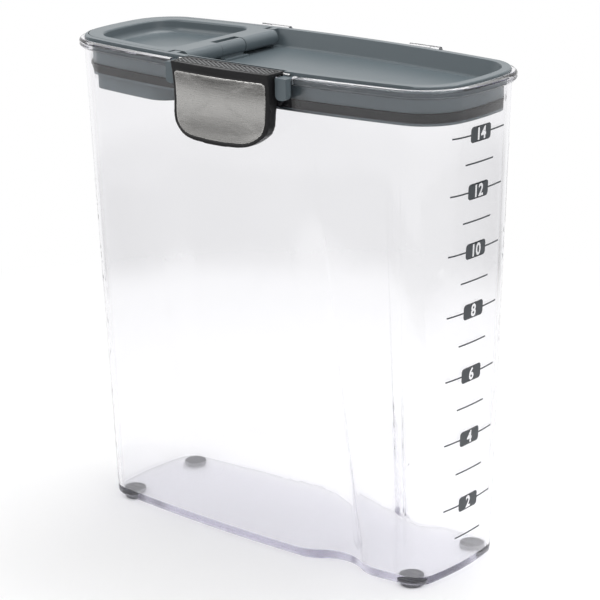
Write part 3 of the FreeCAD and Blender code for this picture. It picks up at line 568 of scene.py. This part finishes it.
INK = PrintInk("scale_ink", (0.055, 0.062, 0.07), 0.45)

# The finishes that carry the name of a packed material slot
SLOT_FINISHES = (
    CLEAR_PLASTIC,
    GREY_PLASTIC,
    SILICONE,
    FOOT_RUBBER,
    BLACK_PLASTIC,
    BLACK_RUBBER,
    BRUSHED_STEEL,
    STEEL,
)


class Bench:
    """The hand tools that pieces are modelled with."""

    @staticmethod
    def clear() -> None:
        """Leaves nothing selected and nothing being edited."""
        if bpy.context.object and bpy.context.object.mode != "OBJECT":
            bpy.ops.object.mode_set(mode="OBJECT")
        bpy.ops.object.select_all(action="DESELECT")

    @staticmethod
    def pick(*pieces: bpy.types.Object) -> None:
        """Selects these pieces alone, the first of them active.

        Args:
            *pieces: The pieces to select.
        """
        Bench.clear()
        for piece in pieces:
            piece.select_set(True)
        bpy.context.view_layer.objects.active = pieces[0]

    @staticmethod
    def name(piece: bpy.types.Object, name: str) -> bpy.types.Object:
        """Names a piece and its mesh.

        Args:
            piece: The piece to name.
            name: Its new name.

        Returns:
            The piece.
        """
        piece.name = name
        piece.data.name = name
        return piece

    @staticmethod
    def settle(piece: bpy.types.Object) -> None:
        """Puts a piece's place into its mesh, so that its object sits at the origin."""
        Bench.pick(piece)
        bpy.ops.object.transform_apply(location=True, rotation=True, scale=True)

    @staticmethod
    def block(low: Vector, high: Vector) -> bpy.types.Object:
        """A block between two corners, as a start for shaping.

        Args:
            low: Its lowest corner, in metres.
            high: Its highest corner, in metres.

        Returns:
            The block.
        """
        Bench.clear()
        bpy.ops.mesh.primitive_cube_add(size=1.0, location=(low + high) / 2)
        made = bpy.context.object
        made.scale = high - low
        Bench.settle(made)
        return made

    @staticmethod
    def copy(node: bpy.types.Object, name: str) -> bpy.types.Object:
        """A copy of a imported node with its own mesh, its loose triangles merged.

        Args:
            node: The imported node.
            name: The copy's name.

        Returns:
            The copy.
        """
        made = bpy.data.objects.new(name, node.data.copy())
        bpy.context.scene.collection.objects.link(made)
        Bench.pick(made)
        bpy.ops.object.mode_set(mode="EDIT")
        bpy.ops.mesh.select_all(action="SELECT")
        bpy.ops.mesh.remove_doubles(threshold=PACKED_MERGE * MM)
        bpy.ops.mesh.customdata_custom_splitnormals_clear()
        bpy.ops.object.mode_set(mode="OBJECT")
        return made

    @staticmethod
    def select(piece: bpy.types.Object, wanted: Callable[[Vector], bool]) -> None:
        """Selects a piece's vertices by their place, and goes into edit mode.

        Args:
            piece: The piece to edit.
            wanted: Whether the vertex at a place is selected.
        """
        Bench.pick(piece)
        bpy.ops.object.mode_set(mode="EDIT")
        bpy.ops.mesh.select_mode(type="VERT")
        bpy.ops.mesh.select_all(action="DESELECT")
        bpy.ops.object.mode_set(mode="OBJECT")
        for vertex in piece.data.vertices:
            vertex.select = wanted(vertex.co)
        bpy.ops.object.mode_set(mode="EDIT")

    @staticmethod
    def modify(piece: bpy.types.Object, kind: str, **settings: object) -> None:
        """Adds a modifier to a piece and applies it.

        Args:
            piece: The piece to change.
            kind: The modifier's type.
            **settings: The modifier's settings.
        """
        Bench.pick(piece)
        modifier = piece.modifiers.new(kind.title(), kind)
        for name, value in settings.items():
            setattr(modifier, name, value)
        bpy.ops.object.modifier_apply(modifier=modifier.name)

    @staticmethod
    def join(pieces: Sequence[bpy.types.Object], name: str) -> bpy.types.Object:
        """Joins pieces into one mesh.

        Args:
            pieces: The pieces to join.
            name: The name of the whole.

        Returns:
            The whole.
        """
        Bench.pick(*pieces)
        bpy.ops.object.join()
        return Bench.name(bpy.context.object, name)

    @staticmethod
    def outward(piece: bpy.types.Object) -> None:
        """Merges a piece's doubles and turns its faces outwards.

        Args:
            piece: The piece to mend.
        """
        Bench.pick(piece)
        bpy.ops.object.mode_set(mode="EDIT")
        bpy.ops.mesh.select_all(action="SELECT")
        bpy.ops.mesh.remove_doubles(threshold=MODELLED_MERGE * MM)
        bpy.ops.mesh.normals_make_consistent(inside=False)
        bpy.ops.object.mode_set(mode="OBJECT")

    @staticmethod
    def smooth(piece: bpy.types.Object, degrees: float) -> None:
        """Shades a piece smoothly over edges flatter than an angle."""
        Bench.pick(piece)
        bpy.ops.object.shade_smooth_by_angle(angle=math.radians(degrees))


class Wardrobe:
    """The materials of the finishes, each made once."""

    def __init__(self) -> None:
        """Starts with no materials."""
        self.made: dict[str, bpy.types.Material] = {}

    def material(self, finish: Finish) -> bpy.types.Material:
        """The material of a finish.

        Args:
            finish: The finish.

        Returns:
            Its material.
        """
        if finish.name not in self.made:
            self.made[finish.name] = finish.build()
        return self.made[finish.name]

    def dress(self, piece: bpy.types.Object, finish: Finish) -> None:
        """Gives every face of a piece one finish.

        Args:
            piece: The piece to dress.
            finish: The finish.
        """
        material = self.material(finish)
        if piece.data.materials:
            for place in range(len(piece.data.materials)):
                piece.data.materials[place] = material
        else:
            piece.data.materials.append(material)


@dataclass
class LatchFace:
    """The latch's lever and face plate, with the soft edges of a moulding and a pressed sheet."""

    wardrobe: Wardrobe
    lever_cell: float = 0.34
    plate_cell: float = 0.3
    passes: int = 10
    softness: float = 0.5
    crease: float = 60.0
    smile_rise: float = 3.2
    smile_height: float = 7.6
    smile_columns: int = 9

    def build(self, nodes: dict[str, bpy.types.Object]) -> list[bpy.types.Object]:
        """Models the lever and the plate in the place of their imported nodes.

        Args:
            nodes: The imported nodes, by name.

        Returns:
            The lever and the plate.
        """
        cage = self.cage()
        lever = Bench.copy(nodes["near_latch_lever"], "soft_lever")
        self.soften(lever, cage, self.lever_cell)
        self.wardrobe.dress(lever, BLACK_PLASTIC)
        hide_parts("near_latch_lever")
        plate = Bench.copy(nodes["near_latch_plate"], "pressed_plate")
        self.soften(plate, cage, self.plate_cell)
        self.wardrobe.dress(plate, BRUSHED_STEEL)
        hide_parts("near_latch_plate")
        bpy.data.objects.remove(cage)
        for piece in (lever, plate):
            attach(piece, "near_latch")
        return [lever, plate]

    def cage(self) -> bpy.types.Object:
        """A lattice round the latch's foot, whose lowest points rise towards the latch's sides.

        Returns:
            The lattice.
        """
        low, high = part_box("near_latch_lever")
        Bench.clear()
        bpy.ops.object.add(type="LATTICE")
        made = bpy.context.object
        made.data.points_u, made.data.points_v, made.data.points_w = self.smile_columns, 2, 3
        made.data.interpolation_type_u = "KEY_CARDINAL"
        made.data.interpolation_type_v = made.data.interpolation_type_w = "KEY_LINEAR"
        tall = 2 * self.smile_height * MM
        made.location = ((low.x + high.x) / 2, (low.y + high.y) / 2, low.z + tall / 2)
        made.scale = (high.x - low.x, high.y - low.y, tall)
        floor = min(point.co.z for point in made.data.points)
        widest = max(point.co.x for point in made.data.points)
        for point in made.data.points:
            if point.co.z == floor:
                point.co_deform.z += self.smile_rise * MM / tall * (point.co.x / widest) ** 2
        return made

    def soften(self, piece: bpy.types.Object, cage: bpy.types.Object, cell: float) -> None:
        """Rounds a piece's edges and draws its lower corners up.

        Args:
            piece: The piece to change.
            cage: The lattice that draws it up.
            cell: The size of the cells that it is remeshed in.
        """
        Bench.modify(piece, "REMESH", mode="VOXEL", voxel_size=cell * MM)
        Bench.modify(piece, "LATTICE", object=cage)
        Bench.modify(piece, "SMOOTH", factor=self.softness, iterations=self.passes)
        Bench.smooth(piece, self.crease)


@dataclass
class LatchGrip:
    """The ridged pad on top of the latch, with slanting ridges across it."""

    wardrobe: Wardrobe
    pitch: float = 3.0
    bar: float = 1.0
    height: float = 0.5
    sunk: float = 0.1
    crown: float = 0.3
    crown_steps: int = 2
    border: float = 0.6
    slant: float = 34.0
    reach_share: float = 0.6
    crease: float = 30.0

    def build(self, node: bpy.types.Object) -> bpy.types.Object:
        """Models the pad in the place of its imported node.

        Args:
            node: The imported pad.

        Returns:
            The ridged pad.
        """
        low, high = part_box("near_latch_grip")
        slab = Bench.copy(node, "ridged_grip")
        top = high.z - self.sunk * MM
        Bench.select(slab, lambda spot: spot.z > top)
        bpy.ops.transform.translate(value=(0, 0, -self.height * MM))
        bpy.ops.object.mode_set(mode="OBJECT")
        ridges = self.ridges(low, high)
        cutter = Bench.copy(node, "ridge_cutter")
        Bench.select(cutter, lambda spot: True)
        width, depth = high.x - low.x, high.y - low.y
        shrink = (1 - 2 * self.border * MM / width, 1 - 2 * self.border * MM / depth, 1)
        bpy.ops.transform.resize(value=shrink, center_override=(low + high) / 2)
        bpy.ops.object.mode_set(mode="OBJECT")
        Bench.modify(ridges, "BOOLEAN", operation="INTERSECT", object=cutter, solver="EXACT")
        bpy.data.objects.remove(cutter)
        Bench.outward(ridges)
        self.wardrobe.dress(slab, BLACK_RUBBER)
        # The ridges get the lighter rubber: a painted highlight for the light on their tops
        self.wardrobe.dress(ridges, PAINTED_HIGHLIGHT_RUBBER)
        pad = Bench.join([slab, ridges], "ridged_grip")
        Bench.smooth(pad, self.crease)
        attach(pad, "near_latch")
        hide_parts("near_latch_grip")
        return pad

    def ridges(self, low: Vector, high: Vector) -> bpy.types.Object:
        """Models one slanting ridge and repeats it along the pad.

        Args:
            low: The pad's lowest corner.
            high: The pad's highest corner.

        Returns:
            All the ridges in one mesh.
        """
        depth = high.y - low.y
        turn = math.radians(self.slant)
        run = depth / math.tan(turn)
        reach = depth / math.sin(turn) * self.reach_share
        foot = high.z - (self.height + self.sunk) * MM
        half = self.bar * MM / 2
        ridge = Bench.block(Vector((-reach, -half, foot)), Vector((reach, half, high.z)))
        middle = (foot + high.z) / 2
        Bench.select(ridge, lambda spot: spot.z > middle)
        bpy.ops.mesh.bevel(offset=self.crown * MM, segments=self.crown_steps, affect="EDGES")
        bpy.ops.object.mode_set(mode="OBJECT")
        ridge.rotation_euler.z = -turn
        ridge.location = (low.x - run / 2, (low.y + high.y) / 2, 0)
        Bench.settle(ridge)
        Bench.modify(
            ridge,
            "ARRAY",
            count=int((high.x - low.x + run) / (self.pitch * MM)) + 1,
            use_relative_offset=False,
            use_constant_offset=True,
            constant_offset_displace=(self.pitch * MM, 0, 0),
        )
        return ridge


@dataclass
class MeasuringScale:
    """The scale printed up the end wall: numbered labels, their lines and the half lines between."""

    wardrobe: Wardrobe
    marks: tuple[tuple[int, float], ...] = (
        (14, 221.0),
        (12, 194.2),
        (10, 165.8),
        (8, 136.3),
        (6, 104.6),
        (4, 72.4),
        (2, 38.4),
    )
    lowest: float = 21.7
    label_y: float = -3.9
    line_y: float = -3.7
    drift: float = 4.6
    label_width: float = 14.6
    label_height: float = 7.5
    label_corner: float = 1.7
    corner_steps: int = 8
    digit: float = 5.6
    digit_width: float = 0.92
    digit_steps: int = 6
    digit_cut: float = 1.0
    bold: float = 0.27
    line: float = 37.2
    half_line: float = 20.5
    line_thick: float = 0.75
    line_tuck: float = 0.1
    line_cells: int = 24
    ink_thick: float = 0.08
    ink_gap: float = 0.01
    stand: float = 125.0

    def build(self, wall: bpy.types.Object) -> bpy.types.Object:
        """Prints the scale on the wall.

        Args:
            wall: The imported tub, on whose end wall the ink lies.

        Returns:
            The print in one mesh.
        """
        pieces = []
        for number, height in self.marks:
            pieces.append(self.label(number, height))
            for end in (-1, 1):
                pieces.append(self.arm(end, height))
        heights = [height for _, height in self.marks]
        halves = [(above + below) / 2 for above, below in zip(heights, heights[1:])]
        for height in (*halves, self.lowest):
            pieces.append(self.stripe(self.line_y, self.half_line, height))
        ink = Bench.join(pieces, "measuring_scale")
        Bench.modify(
            ink,
            "SHRINKWRAP",
            target=wall,
            wrap_method="PROJECT",
            use_project_x=True,
            use_positive_direction=False,
            use_negative_direction=True,
            offset=self.ink_gap * MM,
        )
        Bench.modify(ink, "SOLIDIFY", thickness=self.ink_thick * MM, offset=1.0)
        self.wardrobe.dress(ink, INK)
        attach(ink, "canister")
        return ink

    def arm(self, end: int, height: float) -> bpy.types.Object:
        """The part of a line that shows on one side of its label.

        Args:
            end: The side, -1 or 1 along Y.
            height: The line's height up the wall.

        Returns:
            The stripe, still flat.
        """
        inner = self.label_y + end * (self.label_width / 2 - self.line_tuck)
        outer = self.line_y + end * self.line / 2
        return self.stripe((inner + outer) / 2, abs(outer - inner), height)

    def stripe(self, y: float, length: float, height: float) -> bpy.types.Object:
        """A level stripe in front of the wall, divided along its length.

        Args:
            y: Its middle.
            length: Its length.
            height: Its height up the wall.

        Returns:
            The stripe, still flat.
        """
        Bench.clear()
        bpy.ops.mesh.primitive_grid_add(x_subdivisions=self.line_cells, y_subdivisions=1, size=1)
        made = bpy.context.object
        size = Matrix.Diagonal((length * MM, self.line_thick * MM, 1, 1))
        made.matrix_world = self.upright(y, height) @ size
        Bench.settle(made)
        return made

    def upright(self, y: float, height: float) -> Matrix:
        """The placing that stands a flat piece up in front of the end wall, facing outwards.

        Args:
            y: The piece's middle at the top of the scale, which leans to one side further down.
            height: Its height up the wall.

        Returns:
            The placing.
        """
        turn = Matrix(((0, 0, 1), (1, 0, 0), (0, 1, 0))).to_4x4()
        top, bottom = self.marks[0][1], self.marks[-1][1]
        lean = self.drift * ((top - height) / (top - bottom)) ** 2
        place = Vector((self.stand, y + lean + TUB_MIDDLE, height)) * MM
        return Matrix.Translation(place) @ turn

    def label(self, number: int, height: float) -> bpy.types.Object:
        """A rounded label with its number left clear.

        Args:
            number: The number to leave clear.
            height: The label's middle height.

        Returns:
            The label, still flat.
        """
        digits = self.digits(number)
        made = self.plate()
        Bench.modify(
            made, "BOOLEAN", operation="DIFFERENCE", object=digits, solver="EXACT", use_self=True
        )
        bpy.data.objects.remove(digits)
        made.matrix_world = self.upright(self.label_y, height)
        Bench.settle(made)
        return made

    def digits(self, number: int) -> bpy.types.Object:
        """A number as a solid round the origin, to cut a label with.

        Args:
            number: The number.

        Returns:
            The solid.
        """
        Bench.clear()
        bpy.ops.object.text_add()
        text = bpy.context.object
        text.data.body = str(number)
        text.data.size = self.digit * MM / DIGIT_SHARE
        text.data.align_x = "CENTER"
        text.data.offset = self.bold * MM
        text.data.extrude = self.digit_cut * MM
        text.data.resolution_u = self.digit_steps
        bpy.ops.object.convert(target="MESH")
        made = bpy.context.object
        made.location.y = -self.digit * MM / 2
        made.scale = (self.digit_width, 1, 1)
        Bench.settle(made)
        Bench.outward(made)
        return made

    def plate(self) -> bpy.types.Object:
        """A flat rounded rectangle round the origin.

        Returns:
            The rectangle.
        """
        Bench.clear()
        bpy.ops.curve.primitive_bezier_circle_add(radius=1)
        made = bpy.context.object
        points = made.data.splines[0].bezier_points
        points.add(4)
        bend = self.label_corner * MM
        for place, (x, y) in enumerate(((1, 1), (-1, 1), (-1, -1), (1, -1))):
            corner = Vector((x * self.label_width / 2, y * self.label_height / 2, 0)) * MM
            sides = [Vector((0, -y, 0)), Vector((-x, 0, 0))]
            if x * y < 0:
                sides.reverse()
            for end, side in enumerate(sides):
                point = points[2 * place + end]
                point.handle_left_type = point.handle_right_type = "FREE"
                spot = corner + side * bend
                point.co = point.handle_left = point.handle_right = spot
                hold = "handle_left" if end else "handle_right"
                setattr(point, hold, spot - side * bend * CIRCLE_HOLD)
        made.data.resolution_u = self.corner_steps
        made.data.dimensions = "2D"
        made.data.fill_mode = "BOTH"
        Bench.pick(made)
        bpy.ops.object.convert(target="MESH")
        return bpy.context.object


@dataclass(frozen=True)
class Lamp:
    """A square soft lamp: where it hangs, the length of its side and its power in watts."""

    name: str
    place: tuple[float, float, float]
    side: float
    power: float

    def hang(self, aim: Vector) -> None:
        """Hangs the lamp so that it faces a point.

        Args:
            aim: The point.
        """
        data = bpy.data.lights.new(self.name, "AREA")
        data.size = self.side
        data.energy = self.power
        lamp = bpy.data.objects.new(self.name, data)
        lamp.location = self.place
        lamp.rotation_euler = (aim - Vector(self.place)).to_track_quat("-Z", "Y").to_euler()
        bpy.context.scene.collection.objects.link(lamp)


@dataclass
class Studio:
    """Camera, lamps, floor and the white surroundings."""

    place: tuple[float, float, float] = (0.68458, -0.80984, 0.45641)
    right: tuple[float, float, float] = (0.769454, 0.638445, -0.018123)
    up: tuple[float, float, float] = (-0.179086, 0.242897, 0.953378)
    lens: float = 135.105
    sensor: float = 36.0
    shift: tuple[float, float] = (0.00867, -0.00283)
    lamps: tuple[Lamp, ...] = (
        Lamp("key", (-0.9, -1.5, 1.7), 1.1, 12.0),
        Lamp("fill", (1.7, -0.5, 1.1), 1.2, 6.0),
        Lamp("top", (0.1, 0.5, 1.9), 1.3, 25.0),
    )
    aim: tuple[float, float, float] = (0, 0, 0.13)
    floor_size: float = 8.0
    floor_colour: Colour = (0.88, 0.88, 0.88)
    floor_fade: Stops = ((0.2, 0.0), (0.5, 1.0))
    table: Stops = ((0.21, 0.9), (0.25, 0.07), (0.375, 0.07), (0.43, 0.7))
    table_reach: float = 2.0
    backdrop: tuple[float, float, float] = (-0.643, 0.766, 0.0)
    backdrop_edge: Stops = ((0.6, 0.0), (0.88, 1.0))
    overhead_edge: Stops = ((0.03, 0.0), (0.5, 1.0))
    ambient: float = 0.55
    room: float = 0.26
    overhead: float = 1.0
    inner: float = 0.28
    bounces: int = 24

    def build(self) -> None:
        """Sets up the camera, the lamps, the floor and the surroundings."""
        self.camera()
        for lamp in self.lamps:
            lamp.hang(Vector(self.aim))
        self.floor()
        self.surroundings()
        scene = bpy.context.scene
        scene.view_settings.view_transform = "Standard"
        scene.cycles.max_bounces = self.bounces
        scene.cycles.glossy_bounces = self.bounces
        scene.cycles.transmission_bounces = self.bounces

    def camera(self) -> None:
        """Puts the camera where the photograph was taken from."""
        data = bpy.data.cameras.new("camera")
        data.lens = self.lens
        data.sensor_width = self.sensor
        data.shift_x, data.shift_y = self.shift
        camera = bpy.data.objects.new("camera", data)
        right, up = Vector(self.right), Vector(self.up)
        turn = Matrix((right, up, right.cross(up))).transposed().to_4x4()
        camera.matrix_world = Matrix.Translation(self.place) @ turn
        bpy.context.scene.collection.objects.link(camera)
        bpy.context.scene.camera = camera

    def floor(self) -> None:
        """Lays the pale floor, which fades into the white surroundings away from the canister."""
        Bench.clear()
        bpy.ops.mesh.primitive_plane_add(size=self.floor_size, location=(0, 0, 0))
        floor = Bench.name(bpy.context.object, "floor")
        material = bpy.data.materials.new("floor")
        material.use_nodes = True
        graph = Graph(material.node_tree)
        place = graph.node("ShaderNodeTexCoord").outputs["Object"]
        far = graph.node("ShaderNodeVectorMath", {"operation": "LENGTH"}, {0: place})
        distance = Tone(graph, far.outputs["Value"])
        fade = graph.ramp(distance, self.floor_fade)
        table = graph.ramp(distance * (1 / self.table_reach), self.table)
        strength = self.whiteness(graph, place, 1.0, table)
        plain = graph.node("ShaderNodeBsdfDiffuse", None, {"Color": rgba(self.floor_colour)})
        white = graph.node("ShaderNodeEmission", None, {"Color": WHITE, "Strength": strength})
        sockets = {0: fade, 1: plain.outputs[0], 2: white.outputs[0]}
        shown = graph.node("ShaderNodeMixShader", None, sockets)
        graph.node("ShaderNodeOutputMaterial", None, {"Surface": shown.outputs[0]})
        floor.data.materials.append(material)

    def whiteness(
        self, graph: Graph, towards: bpy.types.NodeSocket, ambient: float, level_with_eye: Value
    ) -> Tone:
        """How white the surroundings are: fully so to the eye and through clear pieces.

        Mirrored in a piece, they are white on the backdrop's side, and on the room's side they
        brighten from dim at eye level to white overhead. What the eye meets inside a clear piece's
        edges is never darker than the inner level.

        Args:
            graph: The graph to add to.
            towards: The direction or place to judge.
            ambient: The level for rays that light the pieces softly.
            level_with_eye: The mirrored level at eye height on the room's side.

        Returns:
            The level.
        """
        path = graph.node("ShaderNodeLightPath")
        mirrored = Tone(graph, path.outputs["Is Glossy Ray"])
        through = Tone(graph, path.outputs["Is Transmission Ray"])
        clear = through * (Tone(graph, path.outputs["Glossy Depth"]) < FIRST_MIRROR)
        seen = clear.larger(Tone(graph, path.outputs["Is Camera Ray"]))
        facing = graph.node("ShaderNodeVectorMath", {"operation": "NORMALIZE"}, {0: towards}).outputs[0]
        along = graph.node(
            "ShaderNodeVectorMath", {"operation": "DOT_PRODUCT"}, {0: facing, 1: self.backdrop}
        )
        turned = Tone(graph, along.outputs["Value"]) * 0.5 + 0.5
        side = graph.ramp(turned, self.backdrop_edge)
        height = graph.ramp(graph.height(facing), self.overhead_edge)
        above = height * self.overhead + (1 - height) * level_with_eye
        shown = (side + (1 - side) * above).larger(through * self.inner)
        level = mirrored * shown + (1 - mirrored) * ambient
        return seen + (1 - seen) * level

    def surroundings(self) -> None:
        """Makes the world white to the eye, and dimmer as a light."""
        world = bpy.data.worlds.new("surroundings")
        bpy.context.scene.world = world
        world.use_nodes = True
        graph = Graph(world.node_tree)
        direction = graph.node("ShaderNodeTexCoord").outputs["Generated"]
        strength = self.whiteness(graph, direction, self.ambient, self.room)
        back = graph.node("ShaderNodeBackground", None, {"Color": WHITE, "Strength": strength})
        graph.node("ShaderNodeOutputWorld", None, {"Surface": back.outputs[0]})


def dress_nodes(frame: dict[str, object], wardrobe: Wardrobe) -> None:
    """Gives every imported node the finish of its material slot.

    Args:
        wardrobe: The materials.
    """
    finishes = {finish.name: finish for finish in SLOT_FINISHES}
    for entry in frame["record"]["subparts"]:
        node = frame["nodes"][entry["node"]]
        wardrobe.dress(node, finishes[entry["material_slot"]])
        LOG.info("%s is finished in %s", entry["node"], entry["material_slot"])


def main() -> None:
    """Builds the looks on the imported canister."""
    logging.basicConfig(level=logging.INFO, format="%(message)s")
    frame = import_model()
    nodes = frame["nodes"]
    wardrobe = Wardrobe()
    dress_nodes(frame, wardrobe)
    pieces = [
        *LatchFace(wardrobe).build(nodes),
        LatchGrip(wardrobe).build(nodes["near_latch_grip"]),
        MeasuringScale(wardrobe).build(nodes["canister_body"]),
    ]
    for piece in pieces:
        LOG.info("%s has %d faces", piece.name, len(piece.data.polygons))
    Studio().build()


if __name__ == "__main__":
    main()
